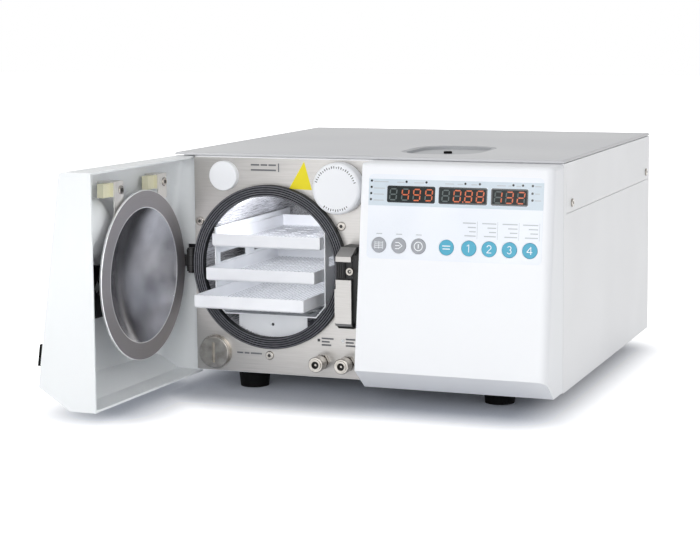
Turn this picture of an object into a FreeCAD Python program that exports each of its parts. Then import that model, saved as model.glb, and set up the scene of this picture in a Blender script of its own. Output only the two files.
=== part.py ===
import FreeCAD, Part
import math
import os

os.makedirs("parts", exist_ok=True)

V = FreeCAD.Vector

# Bench steriliser with its door open. Millimetres, Z up, the bench at zero. While it is being
# built, X runs from the cabinet's left side, Y back from its steel front and the door is shut.

# Cabinet
body_w = 472.0
body_d = 450.0
floor_gap = 22.0                      # height of the feet
body_h = 256.0                        # underside of the cabinet to the lid's seam
sheet = 1.5
seam = 0.6
lid_gap = 1.0
lid_t = 3.0
lid_proud = 2.0
hood_drop = 56.0                      # how far the hood's sides reach down
hood_setback = 12.0
corner_w = 24.0                       # notch that takes the hinge end of the open door
corner_d = 22.0
foot_r = 19.0
foot_x = (83.0, body_w - 83.0)
foot_y = (35.0, body_d - 40.0)
z_low = floor_gap
z_top = floor_gap + body_h

# Chamber
axis_x = 121.0
axis_z = floor_gap + 127.5
chamber_r = 84.0
vessel_t = 2.5
vessel_l = 245.0
vessel_dome = 30.0
seal_r = 96.4
seal_in_r = 83.4
seal_front = 8.6
rib_count = 5

# Trays and their rack
tray_w = 135.7
tray_h = 15.2
tray_l = 212.0
tray_t = 1.0
tray_floors = (150.6, 112.9, 85.6)    # undersides, above the cabinet's underside
tray_fronts = (15.0, 33.0, 66.0)      # how far each one is pulled out
rack_front = 4.0
rack_l = 226.0
rack_t = 1.5

# Sloping front shared by the door and the control cover
lean = 30.0 / 224.0
lean_deg = math.degrees(math.atan(lean))
cover_x = 252.0
cover_top_depth = 41.2
face_top_y = -cover_top_depth
cover_corner_z = 26.0
cover_toe_depth = 40.0
cover_foot_z = 1.8
cover_t = 3.0
cover_edge_r = 10.0

# Door
pin_x = 19.3
pin_y = -3.5
pin_r = 3.5
eye_r = 5.0
open_deg = 92.0
door_x = 0.5
door_end = 251.0
door_top = body_h - 0.5
door_foot = -5.5
door_top_depth = 39.8
door_corner_z = 18.0
door_toe_depth = 32.4
door_taper = 11.5                     # thinner at the hinge than at the free end
door_t = 2.5
shut_gap = 0.3
plate_r = 97.0
plate_t = 2.5
plate_gap = 0.3
dish_r = 77.0
dish_depth = 22.0
eye_z = (125.0, 138.0)
lug_h = 6.0
yoke_z = (84.0, 143.0)
yoke_t = 5.5
yoke_hole = (167.0, 118.0)
post_x = (62.0, 190.0)
post_z = 126.0
grip_c = (186.0, -54.0, 187.0)
grip_r = (44.0, 31.0, 40.0)
strap_y = -14.0                       # front of the two straps that hang in the door
strap_t = 1.5
strap_w = 20.0
strap_mid = 117.0
strap_pitch = 100.0
strap_top = 239.0
strap_screw_z = 229.0
strip_z = (42.0, 66.0)
strip_t = 3.5

# Keys, displays and the overlay on the sloping front
overlay_x = (261.0, 461.8)
overlay_z = (body_h - 105.0, body_h - 12.0)
overlay_t = 0.5
key_r = 8.4
key_z = body_h - 90.0
key_x = (275.3, 298.7, 321.7, 354.1, 379.8, 402.8, 425.7, 448.6)
key_gap = 0.35
key_proud = 0.5
display_z = (body_h - 42.8, body_h - 24.2)
display_x = ((282.7, 338.8), (342.8, 398.6), (402.7, 444.6))

# Fittings on the steel front, heights above the cabinet's underside
filter_at = (209.8, body_h - 33.0)
filter_r = 29.8
filter_front = 18.0
blank_at = (64.0, body_h - 22.5)
blank_r = 17.5
drain_at = (49.0, 23.0)
drain_r = 19.0
coupling_at = ((185.8, 19.2), (217.4, 19.1))
coupling_front = 26.0
collar_r = 9.0
panel_screw_at = ((30.6, 178.4), (210.1, 178.3), (118.2, 22.1))
hood_screw_y = (36.5, body_d - 22.0)
hood_screw_z = body_h - 46.0

# Latch
latch_x = 219.5
latch_mid = 238.0
latch_end = 244.5
latch_front = 44.0
latch_low = 69.4
block_z = (124.5, 142.0)
bolt_at = (235.6, 132.5)
bolt_r = 4.2

# Filler in the lid
filler_c = (305.0, 110.0)
filler_size = (98.0, 130.0)
filler_r = 40.0
filler_depth = 5.0
plug_at = (305.0, 104.0)
plug_r = 5.0

# Back and inside
vent_z = (150.0, 205.0)
vent_x = 60.0
vent_pitch = 14.0
vent_w = 6.0
vent_count = 9
louvre_x = (300.0, 360.0)
louvre_z = 60.0
louvre_pitch = 9.0
louvre_h = 4.0
louvre_count = 6
inlet_x = (392.0, 420.0)
inlet_z = (28.0, 76.0)
inlet_deep = 28.0
tank_x = (256.0, body_w - 32.0)
tank_y = (40.0, 230.0)
tank_t = 3.0


def block(x, y, z):
    return Part.makeBox(x[1] - x[0], y[1] - y[0], z[1] - z[0], V(x[0], y[0], z[0]))


def rod_y(at, r, y0, y1):
    return Part.makeCylinder(r, y1 - y0, V(at[0], y0, at[1]), V(0, 1, 0))


def rod_z(at, r, z0, z1):
    return Part.makeCylinder(r, z1 - z0, V(at[0], at[1], z0))


def ring_y(at, r_out, r_in, y0, y1):
    return rod_y(at, r_out, y0, y1).cut(rod_y(at, r_in, y0 - 1, y1 + 1))


def lift(z):
    return z + floor_gap


def raised(at):
    return (at[0], lift(at[1]))


def prism(points, run):
    return Part.Face(Part.makePolygon(points + points[:1])).extrude(run)


def side_prism(outline, x0, x1):
    return prism([V(x0, y, z) for y, z in outline], V(x1 - x0, 0, 0))


def plan_prism(outline, z0, z1):
    return prism([V(x, y, z0) for x, y in outline], V(0, 0, z1 - z0))


def turned(profile, at):
    # profile holds (radius, y) pairs; the axis runs along Y through at
    face = Part.Face(Part.makePolygon([V(r, y, 0) for r, y in profile + profile[:1]]))
    solid = face.revolve(V(0, 0, 0), V(0, 1, 0), 360)
    solid.translate(V(at[0], 0, at[1]))
    return solid


def rounded_plate(centre, size, r, z0, z1):
    x0 = centre[0] - size[0] / 2
    y0 = centre[1] - size[1] / 2
    plate = block((x0, x0 + size[0]), (y0, y0 + size[1]), (z0, z1))
    upright = [e for e in plate.Edges if abs(e.BoundBox.ZLength - (z1 - z0)) < 1e-6]
    return plate.makeFillet(r, upright)


def fuse(shapes):
    return shapes[0].multiFuse(shapes[1:]).removeSplitter() if len(shapes) > 1 else shapes[0]


def inset(outline, margins):
    # move each edge of a convex outline, listed anticlockwise, inwards by its own margin
    count = len(outline)
    lines = []
    for i in range(count):
        (ax, ay), (bx, by) = outline[i], outline[(i + 1) % count]
        length = math.hypot(bx - ax, by - ay)
        nx, ny = -(by - ay) / length, (bx - ax) / length
        lines.append((nx, ny, nx * ax + ny * ay + margins[i]))
    corners = []
    for i in range(count):
        (a, b, e), (c, d, f) = lines[i - 1], lines[i]
        det = a * d - b * c
        corners.append(((e * d - b * f) / det, (a * f - e * c) / det))
    return corners


def edges_near(shape, test):
    return [e for e in shape.Edges if test(e)]


def cabinet_cutouts():
    return [
        rod_y((axis_x, axis_z), chamber_r + vessel_t + 0.3, -1, sheet + 1),
        rod_y(raised(filter_at), 20.3, -1, sheet + 1),
        rod_y(raised(blank_at), 8.2, -1, sheet + 1),
        rod_y(raised(drain_at), 12.3, -1, sheet + 1),
        block((latch_x + 4, latch_x + 20), (-1, sheet + 1), (lift(78), lift(150))),
    ] + [rod_y(raised(at), 5.3, -1, sheet + 1) for at in coupling_at] \
      + [rod_y(raised(at), 2.3, -1, sheet + 1) for at in panel_screw_at]


def make_front_panel():
    face = block((corner_w, body_w - sheet), (0, sheet), (lift(0.8), z_top - sheet))
    return_edge = block((corner_w, corner_w + sheet), (sheet, corner_d), (lift(0.8), z_top - sheet))
    return fuse([face, return_edge]).cut(Part.makeCompound(cabinet_cutouts()))


def make_base_pan():
    floor = block((sheet, body_w - sheet), (sheet, body_d - sheet), (z_low, z_low + 0.8))
    rim = block((sheet, body_w - sheet), (body_d - 2 * sheet, body_d - sheet), (z_low, z_low + 18))
    sides = [
        block((x, x + sheet), (corner_d + sheet, body_d - sheet), (z_low, z_low + 18))
        for x in (sheet, body_w - 2 * sheet)
    ]
    notch = block((-1, corner_w + sheet), (-1, corner_d + sheet), (0, z_top))
    return fuse([floor, rim] + sides).cut(notch)


def make_side_left():
    wall = block((0, sheet), (corner_d, body_d), (z_low, z_top - hood_drop - seam))
    return_wall = block((sheet, corner_w + sheet), (corner_d, corner_d + sheet), (z_low, z_top - sheet))
    return fuse([wall, return_wall])


def make_side_right():
    x = (body_w - sheet, body_w)
    wall = block(x, (seam, body_d), (z_low, z_top - hood_drop - seam))
    strip = block(x, (seam, hood_setback - seam), (z_top - hood_drop - seam, z_top - sheet))
    return fuse([wall, strip])


def inlet_box(grow):
    x = (inlet_x[0] - grow, inlet_x[1] + grow)
    z = (lift(inlet_z[0]) - grow, lift(inlet_z[1]) + grow)
    return (x, (body_d - inlet_deep, body_d + 1.2), z)


def make_rear_panel():
    panel = block((sheet, body_w - sheet), (body_d - sheet, body_d), (z_low, z_top - sheet))
    slots = [
        block((x, x + vent_w), (body_d - 3, body_d + 1), (lift(vent_z[0]), lift(vent_z[1])))
        for x in (vent_x + vent_pitch * i for i in range(vent_count))
    ]
    vent = [
        block(louvre_x, (body_d - 3, body_d + 1), (lift(z), lift(z + louvre_h)))
        for z in (louvre_z + louvre_pitch * i for i in range(louvre_count))
    ]
    x, _, z = inlet_box(0.2)
    socket = block(x, (body_d - 3, body_d + 1), z)
    return panel.cut(Part.makeCompound(slots + vent + [socket]))


def hood_screw_points():
    return [(x, y) for x in (0, body_w) for y in hood_screw_y]


def make_hood():
    top = block((0, body_w), (0, body_d), (z_top - sheet, z_top))
    right = block((body_w - sheet, body_w), (hood_setback, body_d), (z_top - hood_drop, z_top))
    left = block((0, sheet), (corner_d, body_d), (z_top - hood_drop, z_top))
    notch = block((-1, corner_w + sheet), (-1, corner_d), (0, z_top + 1))
    hood = fuse([top, right, left]).cut(notch)
    holes = [
        Part.makeCylinder(2.1, 8, V(x - 4, y, lift(hood_screw_z)), V(1, 0, 0))
        for x, y in hood_screw_points()
    ]
    size = (filler_size[0] - 8, filler_size[1] - 8)
    opening = rounded_plate(filler_c, size, filler_r - 4, z_top - 3, z_top + 1)
    return hood.cut(Part.makeCompound(holes + [opening]))


def make_top_lid():
    z0 = z_top + lid_gap
    lid = block((0, body_w), (-lid_proud, body_d), (z0, z0 + lid_t))
    rim = edges_near(lid, lambda e: e.BoundBox.ZMin > z0 + lid_t - 0.1)
    lid = lid.makeFillet(2.2, rim)
    pad = block((3, body_w - 3), (corner_d + 3, body_d - 3), (z_top, z0))
    front_pad = block((corner_w + 4, body_w - 3), (2, corner_d + 3), (z_top, z0))
    opening = rounded_plate(filler_c, filler_size, filler_r, z_top - 1, z0 + lid_t + 1)
    slot = block((213, 250), (0.5, 4.5), (z0 + lid_t - 1.2, z0 + lid_t + 1))
    return fuse([lid, pad, front_pad]).cut(Part.makeCompound([opening, slot]))


def make_filler_dish():
    z1 = z_top + lid_gap + lid_t - 0.6
    z0 = z1 - filler_depth

    def part(less, low, high):
        size = (filler_size[0] - less, filler_size[1] - less)
        return rounded_plate(filler_c, size, filler_r - less / 2, low, high)

    outer = part(0.4, z_top, z1)
    well = part(8.4, z0, z_top)
    hollow = part(11.4, z0 + 1.8, z1 + 1)
    neck = rod_z(plug_at, plug_r + 2, z0 - 12, z0)
    bore = rod_z(plug_at, plug_r - 1, z0 - 13, z0 + 3)
    return fuse([outer, well, neck]).cut(Part.makeCompound([hollow, bore]))


def make_filler_plug():
    z0 = z_top + lid_gap + lid_t - 0.6 - filler_depth + 1.8
    z1 = z0 + 2.6
    head = rod_z(plug_at, plug_r, z0, z1)
    head = head.makeFillet(0.8, edges_near(head, lambda e: e.BoundBox.ZMin > z1 - 0.1))
    stem = rod_z(plug_at, plug_r - 1.3, z0 - 10, z0)
    grips = [rod_z((plug_at[0] + dx, plug_at[1]), 1.5, z1 - 1.4, z1 + 1) for dx in (-2.6, 2.6)]
    return fuse([head, stem]).cut(Part.makeCompound(grips))


def make_water_tank():
    # open at its top, under the neck of the filler
    z0 = z_low + 0.8
    z1 = z_top + lid_gap + lid_t - 0.6 - filler_depth - 12
    outer = block(tank_x, tank_y, (z0, z1))
    inner = block((tank_x[0] + tank_t, tank_x[1] - tank_t), (tank_y[0] + tank_t, tank_y[1] - tank_t),
                  (z0 + tank_t, z1 + 1))
    return outer.cut(inner)


def make_feet():
    feet = []
    for x in foot_x:
        for y in foot_y:
            foot = Part.makeCone(foot_r - 2, foot_r, floor_gap - 3, V(x, y, 0))
            collar = rod_z((x, y), foot_r, floor_gap - 3, floor_gap)
            feet.append(foot.fuse(collar).removeSplitter())
    return Part.makeCompound(feet)


def screw_head(r, height, socket_r):
    # head on the plane z = 0 with its shank below and a hexagon socket on top
    head = Part.makeCylinder(r, height)
    head = head.makeFillet(height * 0.45, edges_near(head, lambda e: e.BoundBox.ZMin > height - 0.01))
    shank = Part.makeCylinder(2.0, 8, V(0, 0, -8))
    points = [
        V(socket_r * math.cos(math.pi * k / 3), socket_r * math.sin(math.pi * k / 3), height - 1.4)
        for k in range(6)
    ]
    return head.fuse(shank).cut(prism(points, V(0, 0, 3)))


def placed(shape, at, axis):
    copy = shape.copy()
    copy.Placement = FreeCAD.Placement(V(*at), FreeCAD.Rotation(V(0, 0, 1), V(*axis)))
    return copy


def make_panel_screws():
    screw = screw_head(5.25, 2.2, 2.2)
    return Part.makeCompound([placed(screw, (x, 0, lift(z)), (0, -1, 0)) for x, z in panel_screw_at])


def make_hood_screws():
    screw = screw_head(4.6, 2.0, 1.9)
    return Part.makeCompound([
        placed(screw, (x, y, lift(hood_screw_z)), (1 if x else -1, 0, 0))
        for x, y in hood_screw_points()
    ])


def make_power_inlet():
    x, y, z = inlet_box(0)
    body = block(x, (y[0], body_d), z)
    flange = block((x[0] - 8, x[1] + 8), (body_d, body_d + 1.2), (z[0] - 3, z[1] + 3))
    socket = block((x[0] + 3, x[1] - 3), (body_d - 16, body_d + 2), (z[0] + 12, z[1] - 12))
    mid_x = (x[0] + x[1]) / 2
    mid_z = (z[0] + z[1]) / 2
    pins = [
        block((mid_x - 1, mid_x + 1), (body_d - 16, body_d - 3), (mid_z + dz - 2, mid_z + dz + 2))
        for dz in (-7, 0, 7)
    ]
    return fuse([fuse([body, flange]).cut(socket)] + pins)


def make_vessel():
    r0, r1 = chamber_r, chamber_r + vessel_t
    flange_r = axis_x - corner_w - sheet - 1.0
    profile = [
        (r0, 0.0), (r1, 0.0), (r1, sheet), (flange_r, sheet), (flange_r, sheet + 3.0),
        (r1, sheet + 3.0), (r1, vessel_l), (r0, vessel_l),
    ]
    return fuse([turned(profile, (axis_x, axis_z)), make_dome(r1, r0)])


def make_dome(r_out, r_in):
    # dished end: the rim's radius and the rise give each sphere
    caps = []
    for r, rise in ((r_out, vessel_dome + vessel_t), (r_in, vessel_dome)):
        ball_r = (r * r + rise * rise) / (2 * rise)
        ball = Part.makeSphere(ball_r, V(axis_x, vessel_l + rise - ball_r, axis_z))
        caps.append(ball.common(rod_y((axis_x, axis_z), r, vessel_l, vessel_l + rise + 1)))
    return caps[0].cut(caps[1])


def make_gasket():
    pitch = (seal_r - seal_in_r) / rib_count
    profile = [(seal_in_r, 0.0), (seal_in_r, -seal_front + 0.8)]
    for i in range(rib_count):
        r = seal_in_r + i * pitch
        profile += [(r + 0.25 * pitch, -seal_front), (r + 0.75 * pitch, -seal_front)]
        if i < rib_count - 1:
            profile.append((r + pitch, -seal_front + 2.0))
    profile += [(seal_r, -seal_front + 0.8), (seal_r, 0.0)]
    return turned(profile, (axis_x, axis_z))


def tray_x():
    return (axis_x - tray_w / 2, axis_x + tray_w / 2)


def make_tray(level):
    z0 = lift(tray_floors[level])
    y0 = -tray_fronts[level]
    x0, x1 = tray_x()
    solid = block((x0, x1), (y0, y0 + tray_l), (z0, z0 + tray_h))
    low = edges_near(solid, lambda e: e.BoundBox.ZMax < z0 + 0.1)
    solid = solid.makeFillet(3.0, low)
    hollow = block((x0 + tray_t, x1 - tray_t), (y0 + tray_t, y0 + tray_l - tray_t), (z0 + tray_t, z0 + 99))
    floor = edges_near(hollow, lambda e: e.BoundBox.ZMax < z0 + tray_t + 0.1)
    hollow = hollow.makeFillet(2.0, floor)
    slots = [
        block((x0 + 14 + 28 * i, x0 + 26 + 28 * i), (y0 + 18 + 20 * k, y0 + 22 + 20 * k), (z0 - 1, z0 + 3))
        for i in range(4) for k in range(9)
    ]
    return solid.cut(Part.makeCompound([hollow] + slots))


def make_rack():
    y0, y1 = -rack_front, -rack_front + rack_l
    half = tray_w / 2 + 2.2
    low = lift(70.0)

    def channel(inside, high, grow):
        side = half - inside
        bend = half - 12 - 0.4 * inside
        outline = [
            (-side, high), (-side, lift(84) + 0.4 * inside), (-bend, low + inside),
            (bend, low + inside), (side, lift(84) + 0.4 * inside), (side, high),
        ]
        points = [V(axis_x + x, y0 - grow, z) for x, z in outline]
        return prism(points, V(0, y1 - y0 + 2 * grow, 0))

    trough = channel(0, lift(172), 0).cut(channel(rack_t, lift(180), 1))
    ledges = []
    for z in tray_floors:
        for side in (-1, 1):
            xs = sorted((axis_x + side * (half - rack_t), axis_x + side * (half - rack_t - 4.5)))
            ledges.append(block(xs, (y0 + 6, y1), (lift(z) - 1.4, lift(z) - 0.2)))
    windows = []
    for side in (-1, 1):
        xs = sorted((axis_x + side * (half + 1), axis_x + side * (half - rack_t - 0.1)))
        windows.append(block(xs, (8, 82), (lift(129.5), lift(140.5))))
        windows.append(block(xs, (107, 121), (lift(131), lift(135))))
    slots = [
        block((x, x + 6), (y, y + 26), (low - 1, low + 3))
        for x in (axis_x - 50 + 12.5 * i for i in range(9))
        for y in (12 + 34 * k for k in range(6))
    ]
    apron = rod_y((axis_x, axis_z), chamber_r - 0.3, 4.0, 5.5)
    apron = apron.common(block((axis_x - 43.5, axis_x + 43.5), (3, 7), (0, low)))
    apron = apron.cut(rod_y((axis_x, lift(58.6)), 1.8, 0, 9))
    keel = ring_y((axis_x, axis_z), chamber_r - 0.3, chamber_r - 1.8, 5.5, 16.0)
    keel = keel.common(block((axis_x - 43.5, axis_x + 43.5), (3, 20), (0, low)))
    return fuse([trough.cut(Part.makeCompound(windows + slots)), apron, keel] + ledges)


def make_blanking_cap():
    cap = rod_y(raised(blank_at), blank_r, -8, 0)
    cap = cap.makeFillet(1.6, edges_near(cap, lambda e: e.BoundBox.YMax < -7.9))
    return fuse([cap, rod_y(raised(blank_at), 8.0, 0, 12)])


def make_filter_housing():
    at = raised(filter_at)
    tube = ring_y(at, 20.0, 15.0, -12, 30)
    flange = ring_y(at, 24.0, 20.0, -1.2, 0)
    return fuse([tube, flange])


def make_filter_cap():
    at = raised(filter_at)
    cap = rod_y(at, filter_r, -filter_front, -1.6)
    cap = cap.makeFillet(4.5, edges_near(cap, lambda e: e.BoundBox.YMax < -filter_front + 0.1))
    hollow = rod_y(at, 20.06, -12.3, 0)
    relief = rod_y(at, 24.4, -4.0, 0)
    return cap.cut(Part.makeCompound([hollow, relief]))


def make_drain_housing():
    at = raised(drain_at)
    flange = ring_y(at, drain_r + 1.6, 9.0, -1.8, 0)
    sleeve = ring_y(at, 12.0, 9.0, 0, 26)
    return fuse([flange, sleeve])


def make_drain_plug():
    at = raised(drain_at)
    head = rod_y(at, drain_r, -8, -2.1)
    head = head.makeFillet(1.2, edges_near(head, lambda e: e.BoundBox.YMax < -7.9))
    stem = rod_y(at, 8.94, -2.1, 20)
    slot = block((at[0] - 1.6, at[0] + 1.6), (-9, -4.5), (at[1] - 12, at[1] + 12))
    return fuse([head, stem]).cut(slot)


def make_coupling(index):
    at = raised(coupling_at[index])
    front = -coupling_front
    nut = [
        V(at[0] + 9.2 * math.cos(math.pi * k / 3), -6.0, at[1] + 9.2 * math.sin(math.pi * k / 3))
        for k in range(6)
    ]
    body = fuse([prism(nut, V(0, 6.0, 0)), rod_y(at, 5.1, 0, 14), rod_y(at, 6.45, front, -6.0)])
    bore = rod_y(at, 4.4, front - 1, -10.0)
    pin = rod_y(at, 1.3, front + 1.5, -10.0)
    return fuse([body.cut(bore), pin])


def make_collar(index):
    at = raised(coupling_at[index])
    front = -coupling_front + 1.0
    collar = ring_y(at, collar_r, 6.5, front, front + 14.0)
    lips = edges_near(collar, lambda e: e.BoundBox.XLength > 2 * collar_r - 0.1)
    return collar.makeFillet(0.9, lips)


def make_latch_frame():
    outline = [
        (0, 66), (0, 158), (-26, 158), (-26, 143.3), (-39, 143.3),
        (-39, 122.9), (-41, 122.9), (-41, latch_low), (-36, 66),
    ]
    low = side_prism([(y, lift(z)) for y, z in outline], latch_x, latch_mid)
    outline = [(0, 66), (0, 156), (-38, 150), (-38, 74), (-30, 66)]
    wing = side_prism([(y, lift(z)) for y, z in outline], latch_mid, latch_end)
    bolt_hole = rod_y(raised(bolt_at), bolt_r + 0.06, -60, -16)
    return fuse([low, wing]).cut(bolt_hole)


def make_latch_cover():
    # pressed cover on the lower half, its bottom edge bevelled and its left edge stepped
    z0, z1 = lift(latch_low), lift(122.8)
    front = -latch_front
    plate = side_prism([(-41, z0), (-41, z1), (front, z1), (front, z0 + 3.5)], latch_x - 1.6, latch_mid)
    step = block((latch_x - 2, latch_x - 0.1), (front - 1, -40), (lift(111.8), z1 + 1))
    return plate.cut(step)


def make_latch_clamp():
    # claw with a sloping top above the bolt
    front = -latch_front
    outline = [(-26.0, lift(143.5)), (-26.0, lift(158.0)), (front, lift(149.3)), (front, lift(143.5))]
    return side_prism(outline, latch_x, latch_mid)


def make_latch_block():
    front = -42.0
    body = block((latch_x, bolt_at[0] - bolt_r - 1.9), (front, -39), (lift(block_z[0]), lift(block_z[1])))
    grooves = [
        block((latch_x + 1.5 + 2.2 * i, latch_x + 2.3 + 2.2 * i), (front - 1, front + 1.0), (0, lift(200)))
        for i in range(4)
    ]
    return body.cut(Part.makeCompound(grooves))


def make_lock_bolt():
    at = raised(bolt_at)
    bolt = rod_y(at, bolt_r, -42.5, -18)
    return bolt.cut(rod_y(at, 2.3, -43, -41.0))


def make_lug(z0, z1):
    eye = rod_z((pin_x, pin_y), eye_r, z0, z1)
    strap = block((pin_x - eye_r, corner_w - 0.4), (pin_y, corner_d), (z0, z1))
    return fuse([eye, strap]).cut(rod_z((pin_x, pin_y), pin_r + 0.03, z0 - 1, z1 + 1))


def make_hinge_bracket():
    low = make_lug(lift(eye_z[0] - 0.3 - lug_h), lift(eye_z[0] - 0.3))
    high = make_lug(lift(eye_z[1] + 0.3), lift(eye_z[1] + 0.3 + lug_h))
    back = block((4, corner_w - 0.4), (corner_d - 3, corner_d), (lift(eye_z[0] - 12), lift(eye_z[1] + 12)))
    return fuse([low, high, back])


def make_hinge_pin():
    z0 = lift(eye_z[0] - 0.3 - lug_h)
    z1 = lift(eye_z[1] + 0.3 + lug_h)
    return fuse([rod_z((pin_x, pin_y), pin_r, z0 - 2, z1), rod_z((pin_x, pin_y), eye_r - 0.7, z1, z1 + 2)])


def cover_outline():
    drop = body_h - cover_corner_z
    corner_depth = cover_top_depth + lean * drop
    return [
        (-seam, lift(cover_foot_z)), (-seam, z_top), (-cover_top_depth, z_top),
        (-corner_depth, lift(cover_corner_z)), (-cover_toe_depth, lift(cover_foot_z)),
    ]


def cover_solid(margin, x0, x1, edge_r, top_r, back):
    outline = inset(cover_outline(), (back, margin, margin, margin, margin))
    solid = side_prism(outline, x0, x1)
    front_y = outline[2][0]
    corner = edges_near(solid, lambda e: e.BoundBox.XMin > x1 - 0.01 and e.BoundBox.YMax < front_y + 0.1)
    solid = solid.makeFillet(edge_r, [max(corner, key=lambda e: e.Length)])
    top = [e for e in solid.Edges
           if e.BoundBox.ZMin > outline[1][1] - 0.01 and abs(e.BoundBox.YMax - front_y) < 0.01
           and abs(e.BoundBox.YMin - front_y) < 0.01]
    return solid.makeFillet(top_r, top)


def on_face(shape):
    # built with its outer side towards -Y from y = 0 and its height along the slope from z = 0 down
    copy = shape.copy()
    copy.rotate(V(0, 0, 0), V(1, 0, 0), -lean_deg)
    copy.translate(V(0, face_top_y, z_top))
    return copy


def slope(z):
    # height above the cabinet's underside to the distance along the slope
    return (z - body_h) / math.cos(math.radians(lean_deg))


def face_panel(x, z, y0, y1, r):
    plate = block(x, (y0, y1), (slope(z[0]), slope(z[1])))
    through = edges_near(plate, lambda e: e.BoundBox.YLength > abs(y1 - y0) - 1e-6)
    return plate.makeFillet(r, through)


def key_rod(x, r, y0, y1):
    return rod_y((x, slope(key_z)), r, y0, y1)


def make_cover():
    outer = cover_solid(0, cover_x, body_w, cover_edge_r, 5.0, 0)
    inner = cover_solid(cover_t, cover_x + cover_t, body_w - cover_t, cover_edge_r - cover_t, 2.5, -5)
    cuts = [on_face(key_rod(x, key_r + key_gap, -2, 6)) for x in key_x]
    cuts += [on_face(face_panel(x, display_z, -1, 1.4, 2.0)) for x in display_x]
    return outer.cut(inner).cut(Part.makeCompound(cuts))


def make_overlay():
    sheet_shape = face_panel(overlay_x, overlay_z, -overlay_t, 0, 5.0)
    cuts = [key_rod(x, key_r + key_gap, -2, 2) for x in key_x]
    cuts += [face_panel(x, display_z, -2, 2, 2.0) for x in display_x]
    return on_face(sheet_shape.cut(Part.makeCompound(cuts)))


def make_display(index):
    x = (display_x[index][0] + 0.1, display_x[index][1] - 0.1)
    z = (display_z[0] + 0.1, display_z[1] - 0.1)
    return on_face(face_panel(x, z, -0.3, 1.4, 1.9))


def make_key(index):
    x = key_x[index]
    cap = key_rod(x, key_r, -overlay_t - key_proud, cover_t + 0.3)
    cap = cap.makeFillet(0.4, edges_near(cap, lambda e: e.BoundBox.YMax < -overlay_t - key_proud + 0.01))
    flange = key_rod(x, key_r + 1.4, cover_t + 0.3, cover_t + 1.8)
    return on_face(fuse([cap, flange]))


def make_key_board():
    # circuit board that carries the key springs, on four posts moulded to the cover's back
    x0 = overlay_x[0] - 3.0
    x1 = overlay_x[1] - 0.8
    z0 = overlay_z[0] - 3.0
    z1 = overlay_z[1] - 4.0
    plate = block((x0, x1), (cover_t + 3.4, cover_t + 5.0), (slope(z0), slope(z1)))
    posts = [
        rod_y((x, slope(z)), 3.0, cover_t, cover_t + 3.4)
        for x in (x0 + 4, x1 - 4)
        for z in (z0 + 5, z1 - 4)
    ]
    return on_face(fuse([plate] + posts))


def door_outline():
    drop = door_top - door_corner_z
    corner_depth = door_top_depth + lean * drop
    return [
        (-shut_gap, lift(door_foot)), (-shut_gap, lift(door_top)), (-door_top_depth, lift(door_top)),
        (-corner_depth, lift(door_corner_z)), (-door_toe_depth, lift(door_foot)),
    ]


def taper_cut(depth):
    # wedge in front of the door's face, which comes nearer to the cabinet towards the hinge
    run = door_end - door_x
    low, high = lift(door_foot) - 60, lift(door_top) + 60

    def corner(x, z, out):
        y = -(door_top_depth + lean * (lift(door_top) - z)) + door_taper * (door_end - x) / run + depth
        return V(x, y - out, z)

    x0, x1 = door_x - 40, door_end
    inner = [corner(x0, low, 0), corner(x1, low, 0), corner(x1, high, 0), corner(x0, high, 0)]
    outer = [corner(x0, low, 90), corner(x1, low, 90), corner(x1, high, 90), corner(x0, high, 90)]
    quads = [inner, outer] + [
        [inner[i], inner[(i + 1) % 4], outer[(i + 1) % 4], outer[i]] for i in range(4)
    ]
    faces = [Part.Face(Part.makePolygon(q + q[:1])) for q in quads]
    return Part.makeSolid(Part.makeShell(faces))


def door_solid(margin, back):
    outline = inset(door_outline(), (back, margin, margin, margin, margin))
    solid = side_prism(outline, door_x + margin, door_end - margin)
    return solid.cut(taper_cut(margin * 1.01))


def rounded_door(margin, back, top_r, end_r):
    solid = door_solid(margin, back)
    box = solid.BoundBox
    front = [
        e for e in solid.Edges
        if e.BoundBox.ZMin > box.ZMax - 0.01 and e.BoundBox.XLength > 200 and e.BoundBox.YMax < -20
    ]
    solid = solid.makeFillet(top_r, front)
    hinge = [
        e for e in solid.Edges
        if e.BoundBox.XMax < box.XMin + 0.01 and e.BoundBox.ZLength > 150 and e.BoundBox.YMax < -20
    ]
    return solid.makeFillet(end_r, hinge)


def ellipsoid(centre, radii):
    ball = Part.makeSphere(1.0)
    m = FreeCAD.Matrix()
    m.scale(V(*radii))
    ball = ball.transformGeometry(m)
    ball.translate(V(*centre))
    return ball


def yoke_line(x):
    # inner side of the yoke, which follows the door's taper
    return -45.8 + door_taper * (247.5 - x) / (door_end - door_x)


def make_door_shell():
    outer = rounded_door(0.0, 0.0, 6.0, 10.0)
    inner = rounded_door(door_t, -5.0, 3.5, 7.5)
    shell = outer.cut(inner)
    centre = (grip_c[0], grip_c[1], lift(grip_c[2]))
    bulge = ellipsoid(centre, grip_r)
    pocket = ellipsoid(centre, [r - door_t for r in grip_r])
    behind = plan_prism([(0, yoke_line(0) - yoke_t), (0, -90), (door_end, -90),
                         (door_end, yoke_line(door_end) - yoke_t)], 0, z_top)
    posts = [rod_y((x, lift(post_z)), 7.0, -80, 0).common(behind).common(outer) for x in post_x]
    shell = shell.fuse([bulge.common(outer)] + posts)
    relief = rod_y(raised(filter_at), filter_r + 0.6, -filter_front - 1, 1)
    shell = shell.cut(Part.makeCompound([pocket, relief]))
    z0 = lift(eye_z[0] - 0.3 - lug_h) - 2.5
    z1 = lift(eye_z[1] + 0.3 + lug_h) + 4.5
    notch = block((door_x - 2, door_x + 6), (-16, 2), (z0, z1))
    return shell.cut(notch).removeSplitter()


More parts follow.
